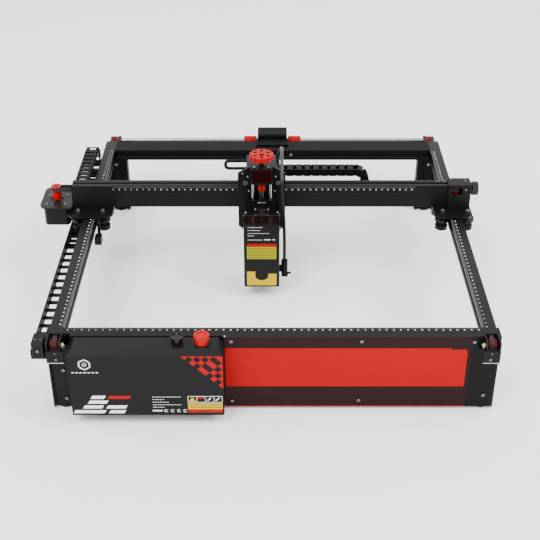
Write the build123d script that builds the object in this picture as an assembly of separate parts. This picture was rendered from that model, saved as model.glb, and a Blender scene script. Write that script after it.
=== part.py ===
from build123d import *
import os
from math import cos, pi, sin

# Desktop laser cutter: an open gantry frame with a belt-driven X carriage and a hand-set Z slide.
# Millimetres, +X to the machine's right, +Y to its rear, +Z up. The model is drawn about the middle of
# the work area, with the ground at Z = 0, and moved at export so that the footprint's middle is X = Y = 0.

# ---- driving dimensions ----
RAIL = 20.0                     # side of the square extrusions
RAIL_X = 306.0                  # left and right rail axes are at -RAIL_X and +RAIL_X
RAIL_TOP = 129.0                # height of the frame's top plane
RAIL_Y = (-299.0, 324.5)        # rail ends
FRONT_Y = (-307.5, -284.5)      # front housing, front to rear face
REAR_BEAM_Y = (284.5, 324.5)
FRAME_X = 319.5                 # outer faces of the end plates
FOOT_H = 3.4
SHEET = 1.5                     # sheet metal
RUN = 0.05                      # radial clearance of a shaft that turns or slides in its bore

BOX_X = (-285.5, -69.6)         # control box
BOX_FRONT = -341.5
BOX_BOTTOM = 16.5
BOX_CHAMFER = 8.0
BUTTON_Y = -322.0               # row of the emergency stop and the key switch
ESTOP_X = -99.0
ESTOP_NECK_R = 9.2
KEY_X = -133.0
COLLAR_H = 0.8                  # rings round the emergency stop and the key switch

WINDOW_X = (-68.2, 274.5)       # red window in the front panel
WINDOW_Z = (41.3, 109.6)

BEAM_Y = (60.0, 80.0)           # gantry beam
BEAM_Z = (133.0, 173.0)
BEAM_X = (-337.0, 294.0)
PLATE_Y = (23.5, 116.5)         # plates that carry the gantry on the rails
PLATE_T = 3.0
PLATE_LEFT = (-343.0, -268.0)
PLATE_RIGHT = (270.0, 333.5)

WHEEL_R = 12.0
WHEEL_T = 9.6
WHEEL_RIM = 5.6                 # width of the wheel's flat rim
WHEEL_OFFSET = 20.9             # wheel axis to rail axis
WHEEL_Y = (44.0, 92.0)          # axes of the wheels on the Y rails
WHEEL_Z = 119.0
BOLT_R = 2.5

BELT_T = 1.4
BELT_W = 6.0
BELT_GAP = 0.1                  # between a belt and its pulleys' seats
PULLEY_R = 5.9                  # belt seat
FLANGE_R = 8.5
SHAFT_Y = 350.0                 # synchronising shaft behind the rear beam
SHAFT_Z = 119.0
SHAFT_R = 4.0
IDLER_Y = -310.5
BELT_Z = 163.0                  # middle of the X belt
X_MOTOR_X = -364.5
X_IDLER_X = 308.0
NEMA = 42.0                     # side of the stepper motors

CARRIAGE_X = -18.3              # middle of the X carriage at rest
CARRIAGE_W = 79.0
CARRIAGE_Y = (52.0, 56.0)
CARRIAGE_Z = (92.0, 212.0)
X_WHEEL_DX = 27.0
SCREW_Y = 45.0                  # lead screw and guide rods
ROD_DX = 14.5
ROD_R = 2.5
KNOB_Z = (231.0, 239.0)
KNOB_R = 20.0

HEAD_W = 59.0                   # laser head
HEAD_Y = (-16.5, 12.8)
HEAD_Z = (21.5, 140.6)
SINK_REAR = 39.0
FAN = 25.0

CHAIN_T = 13.0                  # X drag chain, height of a link
X_CHAIN_Y = (98.0, 118.0)
X_CHAIN_TOP = 184.0
X_CHAIN_FLOOR = 134.8
X_CHAIN_BEND = 140.0            # middle of the bend at rest
X_CHAIN_LOWER = 225.0           # length of the lower run that travels with the bend
Y_CHAIN_T = 12.0                # Y drag chain
Y_CHAIN_X = (-343.0, -321.6)
Y_CHAIN_TOP = 149.0
Y_CHAIN_FLOOR = 87.0
Y_CHAIN_BEND = 250.0
Y_CHAIN_LOWER = 250.0
LINK = 15.0                     # pitch of the chain links
LINK_GAP = 1.2

TRAY_X = (-344.8, -319.7)       # cable tray beside the left rail
TRAY_FLOOR = 84.8
TRAY_WALL = 99.0
TRAY_Y = (-300.0, 322.0)
SLOT_PITCH = 20.45

# middle of the whole machine's footprint, from the motor plate, tension knob, control box and Y motor
MOTOR_PLATE_X = -391.0
TENSION_KNOB_X = (335.0, 345.0)
Y_MOTOR_Y = (330.0, 369.0)
FOOTPRINT = Location(((MOTOR_PLATE_X + TENSION_KNOB_X[1]) / 2, (BOX_FRONT + Y_MOTOR_Y[1]) / 2, 0)).inverse()

parts = {}


# ---- shape helpers ----
def block(x, y, z):
    """Box between a low and a high value on each axis."""
    middle = [(low + high) / 2 for low, high in (x, y, z)]
    size = [high - low for low, high in (x, y, z)]
    return Pos(*middle) * Box(*size)


def rod(axis, middle, radius, length):
    """Cylinder about a point, along x, y or z."""
    turn = {"x": Rot(0, 90, 0), "y": Rot(90, 0, 0), "z": Rot(0, 0, 0)}[axis]
    return Pos(*middle) * turn * Cylinder(radius, length)


def upright(x, y, radius, low, high):
    """Vertical cylinder between two heights."""
    return rod("z", (x, y, (low + high) / 2), radius, high - low)


def across(y, z, radius, low, high):
    """Cylinder along X between two places."""
    return rod("x", ((low + high) / 2, y, z), radius, high - low)


def profile(points, plane, start, length):
    """Outline in a plane's own axes, extruded from start along the plane's normal."""
    face = plane * make_face(Polyline(*points, close=True))
    return extrude(Pos(*(plane.z_dir * start)) * face, length, dir=plane.z_dir)


def chamfered(x, y, z, cuts):
    """Flat plate with its X-Z corners cut; cuts are (width, height) at the bottom and at the top."""
    (low_w, low_h), (top_w, top_h) = cuts
    outline = [
        (x[0] + low_w, z[0]), (x[1] - low_w, z[0]), (x[1], z[0] + low_h), (x[1], z[1] - top_h),
        (x[1] - top_w, z[1]), (x[0] + top_w, z[1]), (x[0], z[1] - top_h), (x[0], z[0] + low_h),
    ]
    front = Plane(origin=(0, 0, 0), x_dir=(1, 0, 0), z_dir=(0, -1, 0))
    return profile(outline, front, -y[1], y[1] - y[0])


def groove(depth=3.0):
    """Outline of a V groove whose mouth is on the X axis and which runs down -Y."""
    mouth, throat, slope = 4.6, 2.9, 1.7
    return [
        (-mouth, 0.01), (mouth, 0.01), (throat, -slope), (throat, -depth), (-throat, -depth), (-throat, -slope),
    ]


def bolt(x, y, low, high, head=4.2, head_t=3.0):
    """Vertical socket-head bolt: shank from low to high, head above."""
    socket = Pos(x, y, high + head_t / 2 + 1) * extrude(RegularPolygon(2.0, 6), 3)
    return upright(x, y, BOLT_R, low, high) + upright(x, y, head, high, high + head_t) - socket


def nut(x, y, low, high, across_flats=8.0):
    """Hexagon nut on a vertical bolt."""
    hexagon = extrude(RegularPolygon(across_flats / 2, 6, major_radius=False), high - low)
    return Pos(x, y, low) * hexagon - upright(x, y, BOLT_R, low - 1, high + 1)


def pulley(length=11.0, bore=SHAFT_R, flange=1.2, hub=0.0):
    """Flanged belt pulley about Z, from Z = 0, with a plain hub below it."""
    body = Pos(0, 0, length / 2) * Cylinder(PULLEY_R, length)
    for low in (0, length - flange):
        body += Pos(0, 0, low + flange / 2) * Cylinder(FLANGE_R, flange)
    if hub:
        body += Pos(0, 0, -hub / 2) * Cylinder(FLANGE_R - 1, hub)
    return body - Pos(0, 0, (length - hub) / 2) * Cylinder(bore, length + hub + 2)


def v_wheel(middle, axis="z"):
    """V wheel: flat rim between two 45 degree flanks, a recessed hub and a running bore."""
    slope = (WHEEL_T - WHEEL_RIM) / 2
    half, rim = WHEEL_T / 2, WHEEL_RIM / 2
    bore = BOLT_R + RUN
    outline = [
        (bore, -half), (WHEEL_R - slope, -half), (WHEEL_R, -rim), (WHEEL_R, rim),
        (WHEEL_R - slope, half), (bore, half),
    ]
    wheel = revolve(Plane.XZ * make_face(Polyline(*outline, close=True)), Axis.Z)
    ring = Cylinder(8.0, 1.2) - Cylinder(5.0, 1.2)
    for side in (-1, 1):
        wheel -= Pos(0, 0, side * (half - 0.6)) * ring
    turn = {"z": Rot(0, 0, 0), "y": Rot(90, 0, 0)}[axis]
    return Pos(*middle) * turn * wheel


def belt(ends, middle, axis):
    """Closed flat belt round two equal pulleys; ends are the pulley axes along the belt's run."""
    length = ends[1] - ends[0]
    seat = PULLEY_R + BELT_GAP
    outer = SlotOverall(length + 2 * (seat + BELT_T), 2 * (seat + BELT_T))
    inner = SlotOverall(length + 2 * seat, 2 * seat)
    loop = extrude(outer - inner, BELT_W / 2, both=True)
    turn = {"z": Rot(0, 0, 0), "x": Rot(0, 90, 0) * Rot(0, 0, 90)}[axis]
    return Pos(*middle) * turn * loop


def link_run(start, stop):
    """Low and high ends of the chain links that fill a straight run."""
    count = max(1, round((stop - start) / LINK))
    pitch = (stop - start) / count
    return [(start + i * pitch, start + (i + 1) * pitch - LINK_GAP) for i in range(count)]


def both_sides(make):
    """The same shape at the left and at the right; make takes the side, -1 or 1."""
    return [make(side) for side in (-1, 1)]


def sides(low, high, side):
    """Low and high X of a piece that lies between two distances from the middle plane."""
    return tuple(sorted((side * low, side * high)))


# ---- frame ----
def front_housing():
    """Folded sheet box across the front with an end plate at each side, notched for the rails."""
    x, y, z = (-FRAME_X + 3, FRAME_X - 3), (FRONT_Y[0] + 3, FRONT_Y[1]), (FOOT_H, RAIL_TOP)
    shell = block(x, y, z) - block(x, (y[0] + SHEET, y[1] - SHEET), (z[0] - 1, z[1] - SHEET))
    window = [(low + 4, high - 4) for low, high in (WINDOW_X, WINDOW_Z)]
    shell -= block(window[0], (y[0] - 1, y[0] + SHEET + 1), window[1])
    shell -= block((BOX_X[0] + 20, BOX_X[1] - 20), (y[0] - 1, y[0] + SHEET + 1), (50, 100))
    shell += block(x, y, (z[0], z[0] + SHEET))
    for side in (-1, 1):
        corner = (RAIL_TOP - RAIL - 0.01, RAIL_TOP + 1)
        shell -= block(sides(295.5, FRAME_X, side), (y[0] - 1, y[1] + 1), corner)
    shell -= block((-295.6, BOX_X[0]), (y[0] - 1, -299.0), (RAIL_TOP - 16, RAIL_TOP + 1))
    plates = both_sides(lambda side: block(sides(FRAME_X - 3, FRAME_X, side), FRONT_Y, (FOOT_H, RAIL_TOP)))
    return [shell] + plates


def front_panel():
    """Dark acrylic sheet in front of the housing, right of the control box, cut out for the window."""
    sheet = block((BOX_X[1], FRAME_X - 3), (FRONT_Y[0], FRONT_Y[0] + 3), (FOOT_H + 1, RAIL_TOP - RAIL))
    sheet += block((BOX_X[1], 291.0), (FRONT_Y[0], FRONT_Y[0] + 3), (RAIL_TOP - RAIL - 1, RAIL_TOP))
    return [sheet - window_shape(0.0)]


def window_shape(gap):
    """Red window's outline: rounded upper right corner."""
    x = (WINDOW_X[0] + gap, WINDOW_X[1] - gap)
    z = (WINDOW_Z[0] + gap, WINDOW_Z[1] - gap)
    plate = block(x, (FRONT_Y[0], FRONT_Y[0] + 3), z)
    corner = plate.edges().filter_by(Axis.Y).group_by(Axis.Z)[-1].sort_by(Axis.X)[-1]
    return fillet(corner, 9.0)


def control_box_cover():
    """Sheet cover of the control box: chamfered top front edge, open at the back, two collars on top."""
    def hull(inset):
        x = (BOX_X[0] + inset, BOX_X[1] - inset)
        front, top, bottom = BOX_FRONT + inset, RAIL_TOP - inset, BOX_BOTTOM + inset
        back = FRONT_Y[0] + (1 if inset else 0)
        solid = block(x, (front, back), (bottom, top))
        edge = solid.edges().filter_by(Axis.X).group_by(Axis.Z)[-1].sort_by(Axis.Y)[0]
        ends = [e for e in solid.edges().filter_by(Axis.Y).group_by(Axis.Z)[-1]]
        return chamfer([edge] + ends, BOX_CHAMFER)

    cover = hull(0) - hull(2.0)
    cover += upright(ESTOP_X, BUTTON_Y, 11.5, RAIL_TOP, RAIL_TOP + COLLAR_H)
    cover += upright(KEY_X, BUTTON_Y, 9.0, RAIL_TOP, RAIL_TOP + COLLAR_H)
    cover -= upright(ESTOP_X, BUTTON_Y, ESTOP_NECK_R + RUN, RAIL_TOP - 9, RAIL_TOP + 5)
    cover -= upright(KEY_X, BUTTON_Y, 4 + RUN, RAIL_TOP - 9, RAIL_TOP + 5)
    return [cover]


def control_board():
    """Driver board on two standoff strips behind the control box's front."""
    board = block((-265, -120), (-320.0, -318.4), (30, 100))
    chips = [block((x, x + 18), (-326.0, -320.0), (60, 78)) for x in (-250, -215, -180)]
    strips = [block((x, x + 6), (-318.4, -305.5), (34, 96)) for x in (-262, -129)]
    return [board.fuse(*chips, *strips)]


def emergency_stop():
    """Mushroom cap with a dished top, on a thick neck that slides in the collar."""
    cap = upright(ESTOP_X, BUTTON_Y, 11.0, 137.5, 145.0)
    cap = fillet(cap.edges().sort_by(Axis.Z)[-1], 2.5)
    cap -= upright(ESTOP_X, BUTTON_Y, 6.0, 144.2, 146.0)
    return [cap + upright(ESTOP_X, BUTTON_Y, ESTOP_NECK_R, 116.0, 137.5)]


def key_switch():
    """Round key-switch knob, wider at the top, with a raised grip bar in a dished top."""
    knob = Pos(KEY_X, BUTTON_Y, 136.0) * Cone(7.6, 9.3, 11.0)
    knob -= upright(KEY_X, BUTTON_Y, 7.6, 140.0, 142.0)
    knob += block((KEY_X - 2.2, KEY_X + 2.2), (BUTTON_Y - 7.8, BUTTON_Y + 7.8), (139.0, 142.0))
    return [knob + upright(KEY_X, BUTTON_Y, 4.0, 118.0, 131.0)]


def y_rails():
    """Square rails with a V groove on each side and a hollow core for the belt, open on the inner side."""
    def rail(side):
        half = RAIL / 2
        body = block((-half, half), RAIL_Y, (-half, half))
        body -= block((-5.5, 5.5), RAIL_Y, (-8, 8))
        length = RAIL_Y[1] - RAIL_Y[0]
        for face in (-1, 1):
            plane = Plane(origin=(face * half, 0, 0), x_dir=(0, 0, 1), z_dir=(0, face, 0))
            cut = make_face(Polyline(*groove(6.0 if face == -side else 3.0), close=True))
            body -= extrude(plane * cut, length + 1000, both=True)
        return Pos(side * RAIL_X, 0, RAIL_TOP - half) * body

    return both_sides(rail)


def grooved_bar(x, y, z, along, faces):
    """Extrusion between two corners with closed V grooves; faces are (centre point, outward normal)."""
    bar = block(x, y, z)
    for centre, outward in faces:
        axis = {"x": Vector(1, 0, 0), "z": Vector(0, 0, 1)}[along]
        plane = Plane(origin=centre, x_dir=Vector(*outward).cross(axis), z_dir=axis)
        turn = plane * make_face(Polyline(*groove(), close=True))
        if (turn.center() - Vector(*centre)).dot(Vector(*outward)) > 0:
            plane = Plane(origin=centre, x_dir=axis.cross(Vector(*outward)), z_dir=-axis)
            turn = plane * make_face(Polyline(*groove(), close=True))
        bar -= extrude(turn, 1000, both=True)
    return bar


def rear_frame():
    """Flat 20 by 40 beam across the back and two upright 20 by 40 legs."""
    mid_z = RAIL_TOP - RAIL / 2
    mid_y = (REAR_BEAM_Y[0] + REAR_BEAM_Y[1]) / 2
    beam_faces = [((0, REAR_BEAM_Y[0], mid_z), (0, -1, 0)), ((0, mid_y - 10, RAIL_TOP - RAIL), (0, 0, -1))]
    beam = grooved_bar((-RAIL_X + 10, RAIL_X - 10), REAR_BEAM_Y, (RAIL_TOP - RAIL, RAIL_TOP), "x", beam_faces)

    def leg(side):
        x = sides(274.5, 314.5, side)
        faces = [((side * d, REAR_BEAM_Y[0], 50), (0, -1, 0)) for d in (284.5, 304.5)]
        return grooved_bar(x, (REAR_BEAM_Y[0], REAR_BEAM_Y[0] + RAIL), (FOOT_H, RAIL_TOP - RAIL), "z", faces)

    return [beam] + both_sides(leg)


def rubber_feet():
    """Four round feet."""
    places = [(side * x, y) for side in (-1, 1) for x, y in ((303.0, -295.5), (294.5, 294.5))]
    return [upright(x, y, 9.0, 0, FOOT_H) for x, y in places]


def cable_tray():
    """Slotted sheet tray that hangs from the left rail, with a block at its front end."""
    t = 1.4
    floor = block(TRAY_X, TRAY_Y, (TRAY_FLOOR, TRAY_FLOOR + t))
    tray = floor + block((TRAY_X[0], TRAY_X[0] + t), TRAY_Y, (TRAY_FLOOR, TRAY_WALL))
    tray += block((TRAY_X[1] - t, TRAY_X[1]), TRAY_Y, (TRAY_FLOOR, TRAY_WALL + 1))
    tray += block((TRAY_X[1] - t, -300), TRAY_Y, (TRAY_WALL - 0.4, TRAY_WALL + 1))
    tray += block((-300 - t, -300), TRAY_Y, (TRAY_WALL - 0.4, RAIL_TOP - RAIL))
    tray -= block((-310, -299), (REAR_BEAM_Y[0] - 0.5, TRAY_Y[1] + 1), (TRAY_WALL - 2, RAIL_TOP - RAIL + 1))
    tray -= block((-310, -299), (TRAY_Y[0] - 1, FRONT_Y[1] + 0.5), (TRAY_WALL - 2, RAIL_TOP - RAIL + 1))
    tray -= block((TRAY_X[1], -299), (REAR_BEAM_Y[0] - 0.5, TRAY_Y[1] + 1), (TRAY_WALL - 0.5, RAIL_TOP))
    tray -= block((TRAY_X[1], -299), (TRAY_Y[0] - 1, FRONT_Y[1] + 0.5), (TRAY_WALL - 0.5, RAIL_TOP))
    first, count = -235.9, 27
    starts = [first + i * SLOT_PITCH for i in range(count)]
    slots = [block((-342.4, -328.6), (start, start + 12.0), (80, 90)) for start in starts]
    tray = tray.cut(*slots)
    end = block((-338.0, -321.6), (TRAY_Y[0], -291.0), (TRAY_FLOOR + t, 124.0))
    return [tray, end + block((-338.0, -321.6), (-316.0, TRAY_Y[0]), (97.0, 124.0))]


def y_motor():
    """Stepper with a shaft through it and a sheet bracket that ties it to the rear beam."""
    body = block((-28, 28), Y_MOTOR_Y, (SHAFT_Z - 20, SHAFT_Z + 20))
    body = chamfer(body.edges().filter_by(Axis.X), 3.0)
    body -= across(SHAFT_Y, SHAFT_Z, SHAFT_R + RUN, -30, 30)
    bracket = block((-30, 30), (REAR_BEAM_Y[1], Y_MOTOR_Y[0]), (SHAFT_Z - 18, RAIL_TOP + 3))
    bracket += block((-30, 30), (302.0, Y_MOTOR_Y[0]), (RAIL_TOP, RAIL_TOP + 3))
    return [body, bracket]


def frame_brackets():
    """Bearing blocks of the synchronising shaft, forks and axles of the front idlers, and a limit switch."""
    def bearing(side):
        plate = block(sides(291.5, 297.0, side), (REAR_BEAM_Y[1], 357.0), (108.0, 125.0))
        return plate - across(SHAFT_Y, SHAFT_Z, SHAFT_R + RUN, -320, 320)

    def fork(side):
        y = (-324.0, RAIL_Y[0])
        shape = block(sides(296.0, 298.0, side), y, (RAIL_TOP - RAIL, RAIL_TOP + 0.5))
        shape += block(sides(314.0, 316.4, side), y, (RAIL_TOP - RAIL, RAIL_TOP + 0.5))
        shape += block(sides(292.3, 316.4, side), (-326.0, -324.0), (97.0, 117.0))
        return shape + across(IDLER_Y, SHAFT_Z, BOLT_R, *sides(293.0, 319.0, side))

    return both_sides(bearing) + both_sides(fork) + [limit_switch(FRONT_Y[1] + 0.1)]


def y_belts():
    """Closed belts through the rails' cores."""
    middle_y = (IDLER_Y + SHAFT_Y) / 2
    return both_sides(lambda side: belt((IDLER_Y, SHAFT_Y), (side * RAIL_X, middle_y, SHAFT_Z), "x"))


def frame_screws():
    """Button-head screws on the front panel, the end plates, the rear beam and the legs."""
    def head(x, y, z, radius=2.5):
        screw = rod("y", (x, y - 0.9, z), radius, 1.8)
        socket = Plane(origin=(x, y - 2.0, z), x_dir=(1, 0, 0), z_dir=(0, 1, 0)) * RegularPolygon(1.4, 6)
        return screw - extrude(socket, 1.2, dir=(0, 1, 0))

    panel = [(-59.0, 122.0), (124.0, 122.0), (282.0, 121.0), (-59.0, 15.5), (124.0, 16.5), (304.0, 26.0)]
    screws = [head(x, FRONT_Y[0], z) for x, z in panel]
    screws += [head(-300.0, FRONT_Y[0] + 3, z) for z in (87.0, 69.0, 18.0)]
    screws += [head(35.0, REAR_BEAM_Y[0] + 3.0, RAIL_TOP - 10, 2.8)]
    screws += [head(side * 294.5, REAR_BEAM_Y[0], RAIL_TOP - RAIL - 9) for side in (-1, 1)]
    return screws


def limit_switch(y):
    """Micro switch on the inner side of the left rail, with its lever towards the rear."""
    case = block((-295.9, -283.0), (y, y + 10), (97.0, 108.5))
    return case + block((-291, -287), (y + 10, y + 12), (99.0, 107.0))


def sync_shaft():
    """Shaft that carries the Y motor's turn to both belts."""
    return [across(SHAFT_Y, SHAFT_Z, SHAFT_R, -314.0, 314.0)]


def shaft_pulleys():
    """Two clamping couplings beside the Y motor and the two drive pulleys."""
    coupling = [across(SHAFT_Y, SHAFT_Z, 8.5, *sides(30.0, 54.5, side)) for side in (-1, 1)]
    coupling = [c - across(SHAFT_Y, SHAFT_Z, SHAFT_R, -60, 60) for c in coupling]
    drive = []
    for side in (-1, 1):
        wheel = pulley(length=10.0, bore=SHAFT_R, hub=3.5)
        turn = Rot(0, side * 90, 0)
        drive.append(Pos(side * (RAIL_X - 5.0), SHAFT_Y, SHAFT_Z) * turn * wheel)
    return coupling + drive


def front_idler(side):
    """Idler pulley at a rail's front end."""
    wheel = pulley(length=10.0, bore=BOLT_R + RUN)
    return [Pos(side * RAIL_X - 5.0, IDLER_Y, SHAFT_Z) * Rot(0, 90, 0) * wheel]


# ---- gantry ----
def gantry_beam():
    """Upright 20 by 40 beam: V grooves on top and below, hollow, with a belt clamp slot at the back."""
    mid_y = (BEAM_Y[0] + BEAM_Y[1]) / 2
    faces = [((0, mid_y, BEAM_Z[1]), (0, 0, 1)), ((0, mid_y, BEAM_Z[0]), (0, 0, -1))]
    bar = grooved_bar(BEAM_X, BEAM_Y, BEAM_Z, "x", faces)
    bar -= block((-400, 400), (62.5, 77.5), (158.0, 168.0))
    bar -= block((-400, 400), (62.5, 77.5), (138.0, 154.0))
    bar -= block((-400, 400), (77.0, 81.0), (BELT_Z - 2.9, BELT_Z + 2.9))
    return [bar - block((-400, 400), (59.0, 60.8), (152.2, 153.4))]


def gantry_end_blocks():
    """Left end cover and the right block that holds the belt's idler and tension screw."""
    cover = block((BEAM_X[0], PLATE_LEFT[1]), (56.8, BEAM_Y[0]), (BEAM_Z[0], BEAM_Z[1] + 0.6))
    outer = block((BEAM_X[1], 332.0), (57.0, 83.0), (BEAM_Z[0], BEAM_Z[1] + 2.5))
    tensioner = outer - block((BEAM_X[1] - 1, 322.0), (60.0, 80.0), (155.0, 171.0))
    tensioner -= block((300.0, 318.0), (56.0, 61.0), (157.0, 170.0))
    tensioner += upright(X_IDLER_X, 70.0, BOLT_R, 154.0, 172.0)
    tensioner -= across(70.0, BELT_Z, BOLT_R + RUN, 321.0, 333.0)
    return [cover, tensioner]


def carriage_plates():
    """Plates that join the gantry to the wheels, each with an arm to its belt, and the chains' sheets."""
    def plate(x, side):
        z = (BEAM_Z[0] - PLATE_T, BEAM_Z[0])
        body = block(x, PLATE_Y, z)
        body = chamfer(body.edges().filter_by(Axis.Z), 9.0)
        body += block(sides(289.0, 293.5, side), (62.0, 72.0), (117.2, z[0]))
        body += block(sides(289.0, 304.5, side), (62.0, 72.0), (117.2, 120.8))
        wheel_x = [side * (RAIL_X + d) for d in (-WHEEL_OFFSET, WHEEL_OFFSET)]
        return body.cut(*[upright(hole_x, y, BOLT_R, 120, 140) for hole_x in wheel_x for y in WHEEL_Y])

    bracket = block((-336.0, -323.0), (100.0, 117.5), (BEAM_Z[0], Y_CHAIN_TOP - 1))
    return [plate(PLATE_LEFT, -1) + front_switch(), plate(PLATE_RIGHT, 1), bracket, x_chain_tray()]


def front_switch():
    """Limit switch that hangs ahead of the left plate, on a bent tab."""
    tab_x = (-291.0, -286.0)
    tab = block(tab_x, (10, PLATE_Y[0] + 2), (BEAM_Z[0] - PLATE_T, BEAM_Z[0]))
    tab += block(tab_x, (10, 13), (97.0, BEAM_Z[0]))
    return tab + block((-294.5, -283.5), (-6, 10), (97.0, 110.0))


def motor_plate():
    """Rounded plate on the gantry's left end that the X motor hangs from."""
    plate = block((MOTOR_PLATE_X, BEAM_X[0]), (42.0, 116.0), (138.0, 141.0))
    corners = plate.edges().filter_by(Axis.Z).group_by(Axis.X)[0]
    plate = fillet(corners, 12.0)
    plate += block((BEAM_X[0] - 4, BEAM_X[0]), BEAM_Y, (BEAM_Z[0], 141.0))
    return [plate - upright(X_MOTOR_X, 70.0, 11.0, 137, 142)]


def x_motor():
    """Stepper under the motor plate."""
    half = NEMA / 2
    body = block((X_MOTOR_X - half, X_MOTOR_X + half), (70 - half, 70 + half), (104.0, 138.0))
    body = chamfer(body.edges().filter_by(Axis.Z), 4.0)
    body += upright(X_MOTOR_X, 70.0, 10.9, 138.0, 140.0)
    return [body - upright(X_MOTOR_X, 70.0, BOLT_R + RUN, 110.0, 141.0)]


def x_belt():
    """Closed belt through the gantry beam."""
    return [belt((X_MOTOR_X, X_IDLER_X), ((X_MOTOR_X + X_IDLER_X) / 2, 70.0, BELT_Z), "z")]


def wheel_places():
    """Name and axis of each wheel on the Y rails."""
    places = []
    for side_name, side in (("left", -1), ("right", 1)):
        for reach_name, reach in (("inner", -WHEEL_OFFSET), ("outer", WHEEL_OFFSET)):
            for end_name, y in (("front", WHEEL_Y[0]), ("rear", WHEEL_Y[1])):
                places.append((f"wheel_{side_name}_{reach_name}_{end_name}", side * (RAIL_X + reach), y))
    return places


def wheel_bolts():
    """Bolts, spacers and nuts that carry the wheels on the Y rails."""
    low, high = WHEEL_Z - WHEEL_T / 2, WHEEL_Z + WHEEL_T / 2
    group = []
    for _, x, y in wheel_places():
        group.append(bolt(x, y, 101.5, BEAM_Z[0]))
        group.append(nut(x, y, high + 0.4, BEAM_Z[0] - PLATE_T))
        group.append(nut(x, y, 108.5, low - 0.4))
    return group


def wheel_discs():
    """Round end discs under the wheel bolts."""
    return [upright(x, y, 10.5, 101.5, 108.5) - upright(x, y, BOLT_R, 100, 110) for _, x, y in wheel_places()]


def x_motor_pulley():
    """Drive pulley with the motor's shaft."""
    wheel = Pos(X_MOTOR_X, 70.0, 157.5) * pulley(length=9.9, bore=BOLT_R, flange=1.2, hub=13.5)
    return [wheel + upright(X_MOTOR_X, 70.0, BOLT_R, 112.0, 168.5)]


def x_idler():
    """Idler pulley in the tensioner block."""
    return [Pos(X_IDLER_X, 70.0, 157.5) * pulley(length=11.0, bore=BOLT_R + RUN, flange=1.6)]


def tension_knob():
    """Knurled knob and its screw."""
    knob = across(70.0, BELT_Z, 11.5, *TENSION_KNOB_X)
    flutes = [
        rod("x", (340.0, 70.0 + 12.2 * cos(a), BELT_Z + 12.2 * sin(a)), 1.3, 12)
        for a in (2 * pi * i / 20 for i in range(20))
    ]
    return [knob.cut(*flutes) + across(70.0, BELT_Z, BOLT_R, 324.0, TENSION_KNOB_X[0])]


def x_chain_tray():
    """Sheet channel on the gantry's back that the X chain's lower run lies in."""
    floor = block((-192.0, 266.0), (BEAM_Y[1], 119.8), (133.2, 134.4))
    return floor + block((-192.0, 266.0), (118.6, 119.8), (133.2, 143.0))


# ---- X carriage and Z slide ----
def carriage_plate():
    """Front plate with cut corners, a bridge over the beam, the belt clamp and the chain's end block."""
    c = CARRIAGE_X
    x = (c - CARRIAGE_W / 2, c + CARRIAGE_W / 2)
    plate = chamfered(x, CARRIAGE_Y, CARRIAGE_Z, ((9.0, 9.0), (20.0, 12.0)))
    plate += block((c - 26, c + 30), (CARRIAGE_Y[1] - 1, 119.0), (198.0, 201.0))
    plate += block((c - 12, c + 12), (82.0, 85.0), (158.0, 199.0))
    plate += block((c - 12, c + 12), (77.8, 83.0), (BELT_Z - 2.4, BELT_Z + 2.4))
    plate += block((c + 20, c + 26), (99.0, 117.0), (171.5, 199.0))
    holes = [rod("y", (wx, 54.0, wz), BOLT_R, 10) for _, wx, wz in x_wheel_places()]
    return [plate.cut(*holes)]


def x_wheel_places():
    """Name and axis of each wheel on the gantry beam."""
    z_top, z_low = BEAM_Z[1] + WHEEL_OFFSET - 10, BEAM_Z[0] - WHEEL_OFFSET + 10
    places = []
    for side_name, side in (("left", -1), ("right", 1)):
        for level, z in (("upper", z_top), ("lower", z_low)):
            places.append((f"carriage_wheel_{side_name}_{level}", CARRIAGE_X + side * X_WHEEL_DX, z))
    return places


def carriage_bolts():
    """Bolts, spacers and nuts of the wheels on the gantry beam."""
    group = []
    for _, x, z in x_wheel_places():
        front, back = 70 - WHEEL_T / 2 - 0.4, 70 + WHEEL_T / 2 + 0.4
        shank = rod("y", (x, 66.0, z), BOLT_R, 28.0) + rod("y", (x, 50.5, z), 4.2, 3.0)
        hollow = rod("y", (x, 50.0, z), 2.0, 3.0)
        spacer = rod("y", (x, (56 + front) / 2, z), 4.0, front - 56) - rod("y", (x, 60.0, z), BOLT_R, 20)
        lock = rod("y", (x, back + 2, z), 4.4, 4.0) - rod("y", (x, back + 2, z), BOLT_R, 6)
        group += [shank - hollow, spacer, lock]
    return group


def slide_blocks():
    """Upper and lower blocks of the Z slide."""
    c = CARRIAGE_X
    upper = block((c - 17.6, c + 17.6), (28.0, CARRIAGE_Y[0]), (193.0, 220.0))
    upper -= block((c - 15.8, c + 15.8), (27.0, 29.5), (194.5, 218.0))
    lower = block((c - 20, c + 20), (40.0, CARRIAGE_Y[0]), (96.0, 104.0))
    rods = guide_rods()
    upper = upper.cut(upright(c, SCREW_Y, SHAFT_R + RUN, 190, 225), *rods)
    lower = lower.cut(upright(c, SCREW_Y, SHAFT_R + RUN, 97.5, 110), *rods)
    return [upper, lower]


def guide_rods():
    """Two polished rods between the slide's blocks."""
    return [upright(CARRIAGE_X + s * ROD_DX, SCREW_Y, ROD_R, 96.0, 212.0) for s in (-1, 1)]


def lead_screw():
    """Lead screw from the lower block to the knob."""
    return [upright(CARRIAGE_X, SCREW_Y, SHAFT_R, 98.0, 241.0)]


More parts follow.
